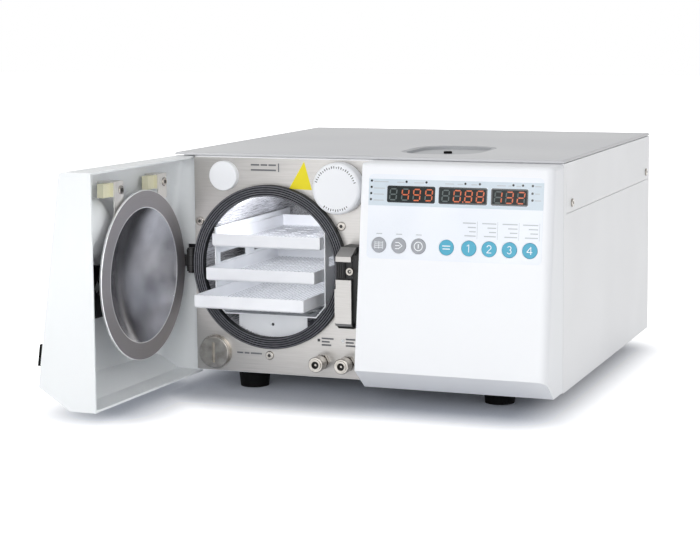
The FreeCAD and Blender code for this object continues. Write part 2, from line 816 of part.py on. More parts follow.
def make_door_yoke():
    z0, z1 = lift(yoke_z[0]), lift(yoke_z[1])
    inner = [(247.5, yoke_line(247.5)), (24.0, yoke_line(24.0))]
    outer = [(24.0, yoke_line(24.0) - yoke_t), (247.5, yoke_line(247.5) - yoke_t)]
    bar = plan_prism(inner + outer, z0, z1)
    e0, e1 = lift(eye_z[0]), lift(eye_z[1])
    leg = block((pin_x - eye_r + 0.2, pin_x + 3.9), (yoke_line(24.0) - yoke_t, pin_y), (e0, e1))
    x0 = pin_x - eye_r + 0.2
    x1 = 30.0
    foot = plan_prism([(x0, yoke_line(24.0)), (x0, yoke_line(24.0) - yoke_t),
                       (x1, yoke_line(x1) - yoke_t), (x1, yoke_line(x1))], e0, e1)
    eye = rod_z((pin_x, pin_y), eye_r, e0, e1)
    solid = fuse([bar, leg, foot, eye])
    bores = [
        rod_z((pin_x, pin_y), pin_r + 0.06, 0, 400),
        rod_y(raised(bolt_at), bolt_r + 0.8, -80, -40),
        rod_y(raised(yoke_hole), 8.0, -80, -30),
    ]
    return solid.cut(Part.makeCompound(bores))


def dish_ball(grow):
    # the sphere whose cap is the hollow of the plate
    ball_r = (dish_r ** 2 + dish_depth ** 2) / (2 * dish_depth)
    centre_y = -seal_front - plate_gap - dish_depth + ball_r
    return Part.makeSphere(ball_r + grow, V(axis_x, centre_y, axis_z))


def make_door_plate():
    y0 = -seal_front - plate_gap
    disc = rod_y((axis_x, axis_z), plate_r, y0 - plate_t, y0)
    disc = disc.makeFillet(0.9, edges_near(disc, lambda e: e.BoundBox.YMax > y0 - 0.1))
    hollow = dish_ball(0).common(rod_y((axis_x, axis_z), dish_r, y0 - dish_depth - 1, y0 + 0.5))
    near = rod_y((axis_x, axis_z), dish_r + plate_t, y0 - dish_depth - 2 * plate_t, y0)
    return fuse([disc, dish_ball(plate_t).common(near)]).cut(hollow)


def make_plate_boss():
    # turned boss that carries the plate on the yoke
    boss = rod_y((axis_x, lift(post_z)), 16.0, -60, -28)
    front = plan_prism([(axis_x - 30, -20), (axis_x - 30, yoke_line(axis_x - 30)),
                        (axis_x + 30, yoke_line(axis_x + 30)), (axis_x + 30, -20)], 0, 300)
    return boss.common(front).cut(dish_ball(plate_t))


def strap_centre(side):
    return strap_mid + strap_pitch / 2 * side


def make_strap(side):
    # strap behind the rim of the plate; its folded top reaches back to the door's wall
    centre = strap_centre(side)
    x = (centre - strap_w / 2, centre + strap_w / 2)
    low = lift(196.0 if side > 0 else 210.0)
    top = lift(strap_top)
    strap = block(x, (strap_y - strap_t, strap_y), (low, top))
    flange = block(x, (strap_y - 60, strap_y), (top - strap_t, top)).cut(taper_cut(door_t * 1.01))
    return fuse([strap, flange]).cut(rod_y(screw_at(side), 2.3, strap_y - 4, strap_y + 4))


def screw_at(side):
    return (strap_centre(side) - 3.5, lift(strap_screw_z))


def make_guide(side):
    # stepped block under the fold, half of it beside the strap
    centre = strap_centre(side)
    z = (lift(222.0), lift(strap_top) - strap_t)
    tongue = block((centre + 2, centre + 10), (-27.0, strap_y - strap_t), z)
    body = block((centre + 10, centre + 25), (-27.0, -19.5), z)
    return fuse([tongue, body])


def make_strap_screws():
    screw = screw_head(5.0, 1.8, 2.4)
    return Part.makeCompound([
        placed(screw, (screw_at(side)[0], strap_y, screw_at(side)[1]), (0, 1, 0)) for side in (-1, 1)
    ])


def make_pull_strip():
    strip = block((206.0, door_end - 0.1), (-95, -60), (lift(strip_z[0]), lift(strip_z[1])))
    return strip.common(taper_cut(0.0)).cut(taper_cut(-strip_t))


root_makers = {
    "base_pan": make_base_pan,
    "hood": make_hood,
    "top_lid": make_top_lid,
    "side_panel_left": make_side_left,
    "side_panel_right": make_side_right,
    "rear_panel": make_rear_panel,
    "front_panel": make_front_panel,
    "control_cover": make_cover,
    "keypad_overlay": make_overlay,
    "key_board": make_key_board,
    "pressure_vessel": make_vessel,
    "door_gasket": make_gasket,
    "tray_rack": make_rack,
    "blanking_cap": make_blanking_cap,
    "filter_housing": make_filter_housing,
    "filter_cap": make_filter_cap,
    "drain_housing": make_drain_housing,
    "drain_plug": make_drain_plug,
    "latch_frame": make_latch_frame,
    "latch_cover": make_latch_cover,
    "latch_clamp": make_latch_clamp,
    "latch_block": make_latch_block,
    "lock_bolt": make_lock_bolt,
    "hinge_bracket": make_hinge_bracket,
    "hinge_pin": make_hinge_pin,
    "panel_screws": make_panel_screws,
    "hood_screws": make_hood_screws,
    "feet": make_feet,
    "water_tank": make_water_tank,
    "filler_dish": make_filler_dish,
    "filler_plug": make_filler_plug,
    "power_inlet": make_power_inlet,
}
door_makers = {
    "door_shell": make_door_shell,
    "door_plate": make_door_plate,
    "plate_boss": make_plate_boss,
    "door_yoke": make_door_yoke,
    "strap_screws": make_strap_screws,
    "pull_strip": make_pull_strip,
}

pieces = {name: make() for name, make in root_makers.items()}
for level, name in enumerate(("tray_top", "tray_middle", "tray_bottom")):
    pieces[name] = make_tray(level)
for index, name in enumerate(("left", "right")):
    pieces["coupling_" + name] = make_coupling(index)
    pieces["collar_" + name] = make_collar(index)
for index, name in enumerate(("left", "middle", "right")):
    pieces["display_" + name] = make_display(index)
for index in range(len(key_x)):
    pieces["key_%d" % (index + 1)] = make_key(index)

door = {name: make() for name, make in door_makers.items()}
for side, name in ((1, "outer"), (-1, "inner")):
    door["strap_" + name] = make_strap(side)
    door["guide_" + name] = make_guide(side)
for name, shape in door.items():
    shape.rotate(V(pin_x, pin_y, 0), V(0, 0, 1), -open_deg)
    pieces[name] = shape

bounds = Part.makeCompound(list(pieces.values())).optimalBoundingBox(False, False)
centre_x = (bounds.XMin + bounds.XMax) / 2
centre_y = (bounds.YMin + bounds.YMax) / 2
for name, shape in pieces.items():
    shape.translate(V(-centre_x, -centre_y, 0))
    shape.exportStep("parts/" + name + ".step")

print("pieces", len(pieces))
print("moved by", round(-centre_x, 3), round(-centre_y, 3))
print("size", round(bounds.XLength, 2), round(bounds.YLength, 2), round(bounds.ZLength, 2))
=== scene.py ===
import bpy, bmesh, math
from mathutils import Matrix, Vector


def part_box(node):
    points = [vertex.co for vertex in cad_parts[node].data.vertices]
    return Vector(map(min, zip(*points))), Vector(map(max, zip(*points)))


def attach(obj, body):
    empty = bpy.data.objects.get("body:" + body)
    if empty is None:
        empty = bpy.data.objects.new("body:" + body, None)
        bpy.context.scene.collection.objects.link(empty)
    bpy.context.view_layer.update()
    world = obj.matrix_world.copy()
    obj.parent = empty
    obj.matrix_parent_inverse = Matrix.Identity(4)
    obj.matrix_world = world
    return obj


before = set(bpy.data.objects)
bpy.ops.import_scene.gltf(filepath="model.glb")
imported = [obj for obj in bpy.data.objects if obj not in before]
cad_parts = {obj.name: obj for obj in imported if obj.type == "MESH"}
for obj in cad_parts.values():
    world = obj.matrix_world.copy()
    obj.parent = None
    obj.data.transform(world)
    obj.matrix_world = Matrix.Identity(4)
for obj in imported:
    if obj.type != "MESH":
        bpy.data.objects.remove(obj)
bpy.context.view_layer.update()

# Millimetres from the cabinet's front left corner, heights above its underside
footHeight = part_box("feet")[1][2]
cabinetCorner = Vector((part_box("hood")[0][0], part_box("hood")[0][1], footHeight))
hinge = {"x": 19.3, "y": -3.5, "open": math.radians(-92)}
slope = {"top": 256.0, "depth": 41.2, "lean": 30 / 224}
chamber = {"x": 121, "height": 127.5}


def mm(x, y, z):
    return cabinetCorner + Vector((x, y, z)) / 1000


def onDoor(x, y, z):
    # the place on the open door of a point given on the shut one
    flat = Matrix.Rotation(hinge["open"], 2) @ Vector((x - hinge["x"], y - hinge["y"]))
    return mm(hinge["x"] + flat.x, hinge["y"] + flat.y, z)


def onSlope(x, z, out=0.0):
    # a point on the leaning face of the control cover
    tilt = math.atan(slope["lean"])
    y = -slope["depth"] - slope["lean"] * (slope["top"] - z)
    return mm(x, y - out * math.cos(tilt), z + out * math.sin(tilt))


def onPanel(x, z, out=0.0):
    return mm(x, -out, z)


def linear(hexColour):
    parts = [int(hexColour[i:i + 2], 16) / 255 for i in (1, 3, 5)]
    return [c / 12.92 if c <= 0.04045 else ((c + 0.055) / 1.055) ** 2.4 for c in parts] + [1.0]


def feed(tree, socket, source):
    # source is a value, a socket, or a node that gives its first output
    if isinstance(source, bpy.types.Node):
        source = source.outputs[0]
    if isinstance(source, bpy.types.NodeSocket):
        tree.links.new(source, socket)
    else:
        socket.default_value = source


def addNode(tree, kind, settings=None, inputs=None, stops=()):
    # stops are places on a ramp, each with a hex colour or a plain value
    node = tree.nodes.new(kind)
    for key, value in (settings or {}).items():
        setattr(node, key, value)
    for key, source in (inputs or {}).items():
        feed(tree, node.inputs[key], source)
    if stops:
        elements = node.color_ramp.elements
        while len(elements) < len(stops):
            elements.new(0.5)
        for element, (place, tone) in zip(elements, stops):
            element.position = place
            element.color = linear(tone) if isinstance(tone, str) else (tone, tone, tone, 1.0)
    return node


# Sockets of a Mix node that blends two colours
mixing = {"settings": {"data_type": "RGBA"}, "first": 6, "second": 7, "result": 2}


def startMaterial(name, **values):
    material = bpy.data.materials.new(name)
    material.use_nodes = True
    tree = material.node_tree
    shader = tree.nodes["Principled BSDF"]
    for key, value in values.items():
        feed(tree, shader.inputs[key.replace("_", " ")], value)
    where = addNode(tree, "ShaderNodeTexCoord").outputs["Object"]
    return material, tree, shader, where


def grain(tree, where, sizeMm, detail=3.0, stretch=(1, 1, 1)):
    # noise whose lumps measure sizeMm, drawn out along an axis by a stretch below 1
    scaled = addNode(tree, "ShaderNodeMapping", inputs={"Vector": where, "Scale": stretch})
    return addNode(tree, "ShaderNodeTexNoise", inputs={
        "Vector": scaled, "Scale": 1000 / sizeMm, "Detail": detail})


def dress(tree, shader, colour, rough, relief, depthMm, strength):
    # what every surface has: a colour, a roughness and a fine relief
    raised = addNode(tree, "ShaderNodeBump", inputs={
        "Height": relief, "Distance": depthMm / 1000, "Strength": strength})
    for key, source in (("Base Color", colour), ("Roughness", rough), ("Normal", raised)):
        feed(tree, shader.inputs[key], source)


def powderCoat(name, light, dark, roughness=0.42):
    # powder coated sheet: a fine orange peel that breaks up the highlights
    material, tree, shader, where = startMaterial(name)
    patches = grain(tree, where, sizeMm=160, detail=2.0)
    peel = grain(tree, where, sizeMm=1.6, detail=2.0)
    colour = addNode(tree, "ShaderNodeValToRGB", inputs={"Fac": patches},
                     stops=((0.35, dark), (0.65, light)))
    rough = addNode(tree, "ShaderNodeValToRGB", inputs={"Fac": peel},
                    stops=((0.3, roughness - 0.04), (0.7, roughness + 0.06)))
    dress(tree, shader, colour, rough, peel, depthMm=0.05, strength=0.35)
    return material


def mouldedAbs(name, light, dark, roughness=0.38):
    # injection moulded ABS: an even spark-eroded grain under a soft sheen;
    # the grain is drawn coarser than the real one, so that it shows
    material, tree, shader, where = startMaterial(name, Specular_IOR_Level=0.45)
    patches = grain(tree, where, sizeMm=220, detail=1.0)
    fine = grain(tree, where, sizeMm=0.7, detail=2.0)
    colour = addNode(tree, "ShaderNodeValToRGB", inputs={"Fac": patches},
                     stops=((0.3, dark), (0.7, light)))
    rough = addNode(tree, "ShaderNodeValToRGB", inputs={"Fac": fine},
                    stops=((0.3, roughness - 0.03), (0.7, roughness + 0.05)))
    dress(tree, shader, colour, rough, fine, depthMm=0.03, strength=0.3)
    return material


def brushedSteel(name, light, dark, stretch, roughness=0.34, metallic=1.0):
    # belt-ground stainless sheet: long fine scratches along one axis;
    # they are drawn further apart than the real ones, so that they show
    material, tree, shader, where = startMaterial(name, Metallic=metallic)
    lines = grain(tree, where, sizeMm=0.9, detail=3.0, stretch=stretch)
    cloud = grain(tree, where, sizeMm=70, detail=2.0)
    cloudShare = 0.35
    mixed = addNode(tree, "ShaderNodeMath", {"operation": "MULTIPLY_ADD"}, {
        0: cloud, 1: cloudShare, 2: lines})
    colour = addNode(tree, "ShaderNodeValToRGB", inputs={"Fac": mixed},
                     stops=((0.42, dark), (0.92, light)))
    rough = addNode(tree, "ShaderNodeValToRGB", inputs={"Fac": lines},
                    stops=((0.3, roughness - 0.08), (0.7, roughness + 0.1)))
    dress(tree, shader, colour, rough, lines, depthMm=0.02, strength=0.25)
    return material


def spunSteel(name, centre, axis, plate):
    # pressed and spun plate: matt circular tool marks on the flange, a softer polish in the
    # dish; the marks are drawn coarser than the real ones, so that they show
    material, tree, shader, where = startMaterial(name, Metallic=1.0)
    away = addNode(tree, "ShaderNodeVectorMath", {"operation": "SUBTRACT"}, {0: where, 1: centre})
    along = addNode(tree, "ShaderNodeVectorMath", {"operation": "DOT_PRODUCT"}, {
        0: away, 1: axis})
    shaft = addNode(tree, "ShaderNodeVectorMath", {"operation": "SCALE"}, {
        0: axis, "Scale": along.outputs["Value"]})
    flat = addNode(tree, "ShaderNodeVectorMath", {"operation": "SUBTRACT"}, {0: away, 1: shaft})
    radius = addNode(tree, "ShaderNodeVectorMath", {"operation": "LENGTH"}, {
        0: flat}).outputs["Value"]
    rings = addNode(tree, "ShaderNodeTexNoise", {"noise_dimensions": "1D"}, {
        "W": radius, "Scale": plate["marksPerMm"] * 1000, "Detail": 2.0})
    dishRadius = plate["dishMm"] / 1000
    edgeBlend = plate["blendMm"] / 1000
    onFlange = addNode(tree, "ShaderNodeMapRange", inputs={
        "Value": radius, "From Min": dishRadius - edgeBlend, "From Max": dishRadius + edgeBlend})
    smear = grain(tree, where, sizeMm=55, detail=2.0)
    tones = [addNode(tree, "ShaderNodeValToRGB", inputs={"Fac": factor},
                     stops=list(zip((0.3, 0.7), plate[part])))
             for factor, part in ((smear, "dishTones"), (rings, "flangeTones"))]
    colour = addNode(tree, "ShaderNodeMix", mixing["settings"], {
        "Factor": onFlange, mixing["first"]: tones[0], mixing["second"]: tones[1]})
    # painted highlight: the dish's lip and the plate's outer rim are coloured near white as
    # bright lines
    lip = addNode(tree, "ShaderNodeMath", {"operation": "COMPARE"}, {
        0: radius, 1: dishRadius, 2: plate["lipMm"] / 1000})
    rim = addNode(tree, "ShaderNodeMath", {"operation": "GREATER_THAN"}, {
        0: radius, 1: dishRadius + plate["flangeMm"] / 1000})
    edge = addNode(tree, "ShaderNodeMath", {"operation": "MAXIMUM"}, {0: lip, 1: rim})
    withPaintedHighlight = addNode(tree, "ShaderNodeMix", mixing["settings"], {
        "Factor": edge, mixing["first"]: colour.outputs[mixing["result"]],
        mixing["second"]: linear(plate["edge"])})
    rough = addNode(tree, "ShaderNodeMapRange", inputs={
        "Value": onFlange, "To Min": plate["dishRough"], "To Max": plate["flangeRough"]})
    uneven = addNode(tree, "ShaderNodeMath", {"operation": "MULTIPLY_ADD"}, {
        0: smear, 1: plate["unevenness"], 2: rough})
    dress(tree, shader, withPaintedHighlight.outputs[mixing["result"]], uneven, rings,
          depthMm=0.008, strength=0.15)
    return material


def polishedMetal(name, light, dark, roughness=0.16, metallic=1.0):
    # nickel plated or turned metal: faint smears in a clear reflection;
    # the turned marks are drawn coarser than the real ones, so that they show
    material, tree, shader, where = startMaterial(name, Metallic=metallic)
    smear = grain(tree, where, sizeMm=9, detail=3.0)
    turned = grain(tree, where, sizeMm=0.8, detail=2.0)
    colour = addNode(tree, "ShaderNodeValToRGB", inputs={"Fac": smear},
                     stops=((0.3, dark), (0.7, light)))
    rough = addNode(tree, "ShaderNodeValToRGB", inputs={"Fac": smear},
                    stops=((0.3, roughness), (0.75, roughness + 0.12)))
    dress(tree, shader, colour, rough, turned, depthMm=0.01, strength=0.2)
    return material


def punchedHoles(tree, where, holes):
    # 1 inside a square grid of round holes, on level faces only
    inCells = addNode(tree, "ShaderNodeVectorMath", {"operation": "SCALE"}, {
        0: where, "Scale": 1000 / holes["pitchMm"]})
    cell = addNode(tree, "ShaderNodeVectorMath", {"operation": "FRACTION"}, {0: inCells})
    centred = addNode(tree, "ShaderNodeVectorMath", {"operation": "SUBTRACT"}, {
        0: cell, 1: (0.5, 0.5, 0.5)})
    flat = addNode(tree, "ShaderNodeVectorMath", {"operation": "MULTIPLY"}, {
        0: centred, 1: (1, 1, 0)})
    away = addNode(tree, "ShaderNodeVectorMath", {"operation": "LENGTH"}, {0: flat})
    hole = addNode(tree, "ShaderNodeMath", {"operation": "LESS_THAN"}, {
        0: away.outputs["Value"], 1: holes["radiusMm"] / holes["pitchMm"]})
    normal = addNode(tree, "ShaderNodeNewGeometry").outputs["True Normal"]
    facing = addNode(tree, "ShaderNodeSeparateXYZ", inputs={"Vector": normal})
    upright = addNode(tree, "ShaderNodeMath", {"operation": "ABSOLUTE"}, {
        0: facing.outputs["Z"]})
    level = addNode(tree, "ShaderNodeMath", {"operation": "GREATER_THAN"}, {
        0: upright, 1: holes["levelFrom"]})
    return addNode(tree, "ShaderNodeMath", {"operation": "MULTIPLY"}, {0: hole, 1: level})


def anodisedAluminium(name, light, dark, roughness=0.42, metallic=0.15, holes=None):
    # satin anodised sheet: milky, with a grain drawn coarser than the real one, so that it
    # shows; level floors carry rows of punched holes
    material, tree, shader, where = startMaterial(name, Metallic=metallic)
    fine = grain(tree, where, sizeMm=0.8, detail=2.0)
    cloud = grain(tree, where, sizeMm=40, detail=2.0)
    colour = addNode(tree, "ShaderNodeValToRGB", inputs={"Fac": cloud},
                     stops=((0.3, dark), (0.7, light)))
    if holes:
        colour = addNode(tree, "ShaderNodeMix", mixing["settings"], {
            "Factor": punchedHoles(tree, where, holes), mixing["first"]: colour,
            mixing["second"]: linear(holes["shade"])}).outputs[mixing["result"]]
    rough = addNode(tree, "ShaderNodeValToRGB", inputs={"Fac": fine},
                    stops=((0.3, roughness - 0.05), (0.7, roughness + 0.08)))
    dress(tree, shader, colour, rough, fine, depthMm=0.015, strength=0.3)
    return material


def ribCrowns(tree, where, ribs):
    # 1 on the tops of the rings round a centre, 0 in the grooves between them, which take the
    # painted shade
    aside = addNode(tree, "ShaderNodeVectorMath", {"operation": "SUBTRACT"}, {
        0: where, 1: ribs["centre"]})
    flat = addNode(tree, "ShaderNodeVectorMath", {"operation": "MULTIPLY"}, {
        0: aside, 1: (1, 0, 1)})
    radius = addNode(tree, "ShaderNodeVectorMath", {"operation": "LENGTH"}, {0: flat})
    steps = addNode(tree, "ShaderNodeMapRange", {"clamp": False}, {
        "Value": radius.outputs["Value"], "From Min": ribs["innerMm"] / 1000,
        "From Max": ribs["outerMm"] / 1000, "To Min": 0.0, "To Max": ribs["count"]})
    phase = addNode(tree, "ShaderNodeMath", {"operation": "FRACT"}, {0: steps})
    return addNode(tree, "ShaderNodeValToRGB", inputs={"Fac": phase},
                   stops=((0.1, 0.0), (0.32, 1.0), (0.68, 1.0), (0.9, 0.0)))


def siliconeRubber(name, light, dark, roughness=0.55, shine=0.4, ribs=None):
    # moulded rubber: matt and faintly dusty, with a skin drawn coarser than the real one,
    # so that it shows; the grooves between the ribs are painted dark as painted shade
    material, tree, shader, where = startMaterial(name, Specular_IOR_Level=shine)
    dust = grain(tree, where, sizeMm=5, detail=4.0)
    skin = grain(tree, where, sizeMm=0.6, detail=2.0)
    colour = addNode(tree, "ShaderNodeValToRGB", inputs={"Fac": dust},
                     stops=((0.35, dark), (0.7, light)))
    if ribs:
        colour = addNode(tree, "ShaderNodeMix", mixing["settings"], {
            "Factor": ribCrowns(tree, where, ribs), mixing["first"]: linear(ribs["paintedGrooveShade"]),
            mixing["second"]: colour}).outputs[mixing["result"]]
    rough = addNode(tree, "ShaderNodeValToRGB", inputs={"Fac": dust},
                    stops=((0.3, roughness - 0.08), (0.7, roughness + 0.1)))
    dress(tree, shader, colour, rough, skin, depthMm=0.03, strength=0.3)
    return material


def polyesterFilm(name, light, dark, roughness=0.3, shine=0.5):
    # embossed keypad film, screen print and smoked windows: a fine velvet grain,
    # drawn coarser than the real one, so that it shows
    material, tree, shader, where = startMaterial(name, Specular_IOR_Level=shine)
    fine = grain(tree, where, sizeMm=0.5, detail=1.0)
    cloud = grain(tree, where, sizeMm=60, detail=1.0)
    colour = addNode(tree, "ShaderNodeValToRGB", inputs={"Fac": cloud},
                     stops=((0.3, dark), (0.7, light)))
    rough = addNode(tree, "ShaderNodeValToRGB", inputs={"Fac": fine},
                    stops=((0.3, roughness - 0.04), (0.7, roughness + 0.06)))
    dress(tree, shader, colour, rough, fine, depthMm=0.02, strength=0.25)
    return material


def litLed(name, colour, dim, power):
    # light-emitting segments under a diffuser: their brightness uneven in lumps of some 3 mm
    material, tree, shader, where = startMaterial(name, Roughness=0.3)
    glow = grain(tree, where, sizeMm=3, detail=1.0)
    tone = addNode(tree, "ShaderNodeValToRGB", inputs={"Fac": glow},
                   stops=((0.3, dim), (0.7, colour)))
    for key, source in (("Base Color", tone), ("Emission Color", tone),
                        ("Emission Strength", power)):
        feed(tree, shader.inputs[key], source)
    return material


# Stretches that draw the scratches out along one axis
alongX, alongXShort, alongY, alongZ = (0.02, 1, 1), (0.03, 1, 1), (1, 0.04, 1), (1, 1, 0.03)
doorPlate = {
    "faceY": -9, "dishMm": 77.0, "flangeMm": 19.2, "lipMm": 0.7, "blendMm": 0.6,
    "marksPerMm": 1.3, "unevenness": 0.1, "edge": "#F2F2F3",
    # the dish's smears swing wide between dark and light: real smears, with their spread widened
    # as painted reflection
    "dishTones": ("#9C9B9E", "#E4E3E6"), "dishRough": 0.15,
    "flangeTones": ("#9A9799", "#A7A4A6"), "flangeRough": 0.42,
}
plateCentre = tuple(onDoor(chamber["x"], doorPlate["faceY"], chamber["height"]))
doorAxis = tuple((onDoor(0, 1, 0) - onDoor(0, 0, 0)).normalized())
trayHoles = {"pitchMm": 5.0, "radiusMm": 1.25, "levelFrom": 0.95, "shade": "#5E6168"}
# the gasket's grooves are painted near black as painted shade
sealRibs = {"centre": tuple(mm(chamber["x"], 0, chamber["height"])),
            "innerMm": 83.4, "outerMm": 96.4, "count": 5, "paintedGrooveShade": "#1E1F22"}
finish = {
    "whiteCoat": powderCoat("powderCoatedSteelWhite", "#F5F6F8", "#EFF0F2"),
    "lidAbs": mouldedAbs("mouldedAbsLid", "#D4D5D7", "#CBCCCF", roughness=0.42),
    "whiteAbs": mouldedAbs("mouldedAbsWhite", "#F4F6F9", "#EFF1F5"),
    "dishAbs": mouldedAbs("mouldedAbsDish", "#B9BBBE", "#ACAEB2", roughness=0.45),
    "doorAbs": mouldedAbs("mouldedAbsDoor", "#EEF1F3", "#E6E9EB", roughness=0.3),
    "panelSteel": brushedSteel("brushedStainlessPanel", "#C3C1BF", "#B0AEAC", alongX,
                               roughness=0.4),
    "latchSteel": brushedSteel("brushedStainlessLatch", "#B8B6B4", "#A8A6A4", alongXShort,
                               roughness=0.38),
    "strapSteel": brushedSteel("brushedStainlessStrap", "#DEDCD9", "#CBC9C6", alongZ,
                               metallic=0.6),
    "chamberSteel": brushedSteel("polishedStainlessChamber", "#E0E0E3", "#B4B4B9", alongY,
                                 roughness=0.28, metallic=0.4),
    "plateSteel": spunSteel("spunStainlessPlate", plateCentre, doorAxis, doorPlate),
    "brightMetal": polishedMetal("nickelPlatedBrass", "#BEBAB5", "#95918B"),
    "trayAluminium": anodisedAluminium("anodisedAluminiumTray", "#F0F2F6", "#E8EAEF",
                                       holes=trayHoles),
    "rackAluminium": anodisedAluminium("anodisedAluminiumRack", "#F4F6F9", "#E9ECF0"),
    "silicone": siliconeRubber("siliconeSealGrey", "#6F7076", "#5C5D63", shine=0.2,
                               ribs=sealRibs),
    "blackRubber": siliconeRubber("nitrileRubberBlack", "#0B0B0C", "#060607", roughness=0.75,
                                  shine=0.15),
    "blackOxide": polishedMetal("blackenedSteel", "#1C1C1E", "#0E0E0F", roughness=0.42,
                                metallic=0.2),
    "film": polyesterFilm("polyesterFilmWhite", "#EEF2F9", "#E8EDF5"),
    "bandFilm": polyesterFilm("polyesterFilmPaleBlue", "#D0DBE4", "#C8D5DF"),
    "smokedAcrylic": polyesterFilm("smokedAcrylicWindow", "#20272C", "#171D21", roughness=0.14),
    "windowField": polyesterFilm("smokedAcrylicField", "#2B3131", "#232929", roughness=0.2,
                                 shine=0.12),
    "ghostSegment": polyesterFilm("unlitSegmentGrey", "#6C7575", "#606969", shine=0.15),
    "litOrange": litLed("litSegmentOrange", "#D4693A", "#B9532C", power=0.22),
    "darkLens": polyesterFilm("darkLampLens", "#2E3136", "#212428", roughness=0.15),
    "greyPrint": polyesterFilm("screenPrintGrey", "#BEC4C9", "#B3B9BF", roughness=0.45),
    "panelPrint": polyesterFilm("screenPrintSlate", "#6E7074", "#5F6165", roughness=0.45),
    "whitePrint": polyesterFilm("screenPrintWhite", "#F3F6F8", "#E8ECEF", roughness=0.45),
    # black screen print; the same finish is the painted shade in the sockets and bores
    "blackPrintAndPaintedShade": polyesterFilm("screenPrintBlackAndPaintedShade", "#2A2B2D", "#1E1F21", roughness=0.45),
    "yellowField": polyesterFilm("screenPrintYellow", "#F4E417", "#EADA10", roughness=0.4),
    "greyKey": mouldedAbs("mouldedAbsGreyKey", "#A6A9B0", "#9A9DA4", roughness=0.42),
    "blueKey": mouldedAbs("mouldedAbsBlueKey", "#4FAECB", "#45A2C0"),
    "creamPolymer": mouldedAbs("acetalCream", "#E3E0C6", "#D6D3B6", roughness=0.4),
    "boardLaminate": mouldedAbs("glassEpoxyBoard", "#2F5B3E", "#264C33", roughness=0.45),
    "tankPolymer": mouldedAbs("polypropyleneTank", "#D9DCDD", "#CDD1D3", roughness=0.4),
}
print("finishes", len(finish))

nodeFinish = {
    "whiteCoat": ["hood", "side_panel_left", "side_panel_right", "rear_panel", "base_pan"],
    "lidAbs": ["top_lid"],
    "dishAbs": ["filler_dish"],
    "whiteAbs": ["control_cover", "blanking_cap", "filter_housing", "filter_cap"],
    "doorAbs": ["door_shell"],
    "panelSteel": ["front_panel"],
    "latchSteel": ["latch_cover", "latch_clamp", "plate_boss"],
    "strapSteel": ["strap_outer", "strap_inner"],
    "chamberSteel": ["pressure_vessel"],
    "plateSteel": ["door_plate"],
    "brightMetal": ["drain_housing", "drain_plug", "lock_bolt", "panel_screws", "hood_screws",
                    "coupling_left", "coupling_right", "collar_left", "collar_right",
                    "strap_screws"],
    "trayAluminium": ["tray_top", "tray_middle", "tray_bottom"],
    "rackAluminium": ["tray_rack"],
    "silicone": ["door_gasket"],
    "blackRubber": ["feet", "filler_plug", "pull_strip"],
    "blackOxide": ["latch_frame", "latch_block", "hinge_bracket", "hinge_pin", "door_yoke",
                   "power_inlet"],
    "film": ["keypad_overlay"],
    "smokedAcrylic": ["display_left", "display_middle", "display_right"],
    "greyKey": ["key_1", "key_2", "key_3"],
    "blueKey": ["key_4", "key_5", "key_6", "key_7", "key_8"],
    "creamPolymer": ["guide_outer", "guide_inner"],
    "boardLaminate": ["key_board"],
    "tankPolymer": ["water_tank"],
}
for key, names in nodeFinish.items():
    for name in names:
        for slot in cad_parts[name].material_slots:
            slot.material = finish[key]
print("cad nodes dressed", sum(len(names) for names in nodeFinish.values()))


def addMesh(name, build, material):
    mesh = bpy.data.meshes.new(name)
    shape = bmesh.new()
    build(shape)
    shape.to_mesh(mesh)
    shape.free()
    mesh.materials.append(material)
    piece = bpy.data.objects.new(name, mesh)
    bpy.context.scene.collection.objects.link(piece)
    return piece


def slab(shape, outline, depth, lift, place):
    # a thin plate on a surface: place(u, v, out) gives its points
    low = [shape.verts.new(place(u, v, lift)) for u, v in outline]
    high = [shape.verts.new(place(u, v, lift + depth)) for u, v in outline]
    shape.faces.new(low)
    shape.faces.new(high)
    for i in range(len(outline)):
        k = (i + 1) % len(outline)
        shape.faces.new((low[i], low[k], high[k], high[i]))


def addSlabs(name, outlines, depth, lift, place, look, body="cabinet"):
    def build(shape):
        for outline in outlines:
            slab(shape, outline, depth, lift, place)
        bmesh.ops.recalc_face_normals(shape, faces=shape.faces)
    piece = addMesh(name, build, finish[look])
    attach(piece, body)


def circle(cx, cz, r, count=24):
    turns = [2 * math.pi * i / count for i in range(count)]
    return [(cx + r * math.cos(turn), cz + r * math.sin(turn)) for turn in turns]


def rectangle(x0, x1, z0, z1):
    return [(x0, z0), (x1, z0), (x1, z1), (x0, z1)]


def stroke(x0, z0, x1, z1, width):
    length = math.hypot(x1 - x0, z1 - z0)
    dx, dz = -(z1 - z0) / length * width / 2, (x1 - x0) / length * width / 2
    return [(x0 + dx, z0 + dz), (x0 - dx, z0 - dz), (x1 - dx, z1 - dz), (x1 + dx, z1 + dz)]


def ringParts(cx, cz, inner, outer, first=0, last=360, parts=24):
    turns = [math.radians(first + (last - first) * i / parts) for i in range(parts + 1)]
    return [[(cx + r * math.cos(turn), cz + r * math.sin(turn))
             for r, turn in ((inner, a), (outer, a), (outer, b), (inner, b))]
            for a, b in zip(turns, turns[1:])]


# Seven-segment digits, each segment a bar with pointed ends
digit = {"height": 12.0, "width": 7.6, "bar": 1.35, "slant": 1.0, "gap": 0.5, "lift": 0.3,
         "middle": 222.2, "litDepth": 0.04, "darkDepth": 0.03}
point = {"x": 370.9, "below": 6.2, "radius": 0.8, "corners": 12}
window = {"low": 214.8, "high": 230.2, "depth": 0.015,
          "spans": {"left": (284.2, 337.3), "middle": (344.3, 397.1), "right": (404.2, 443.1)}}
segmentsLit = {"0": "abcdef", "1": "bc", "2": "abged", "3": "abgcd", "4": "fgbc",
               "8": "abcdefg", "9": "abcdfg", " ": ""}
readouts = {
    "left": [(289.9, " "), (304.0, "4"), (317.4, "9"), (331.4, "9")],
    "middle": [(350.9, " "), (364.1, "0"), (377.1, "8"), (390.3, "8")],
    "right": [(410.8, "1"), (423.5, "3"), (436.5, "2")],
}


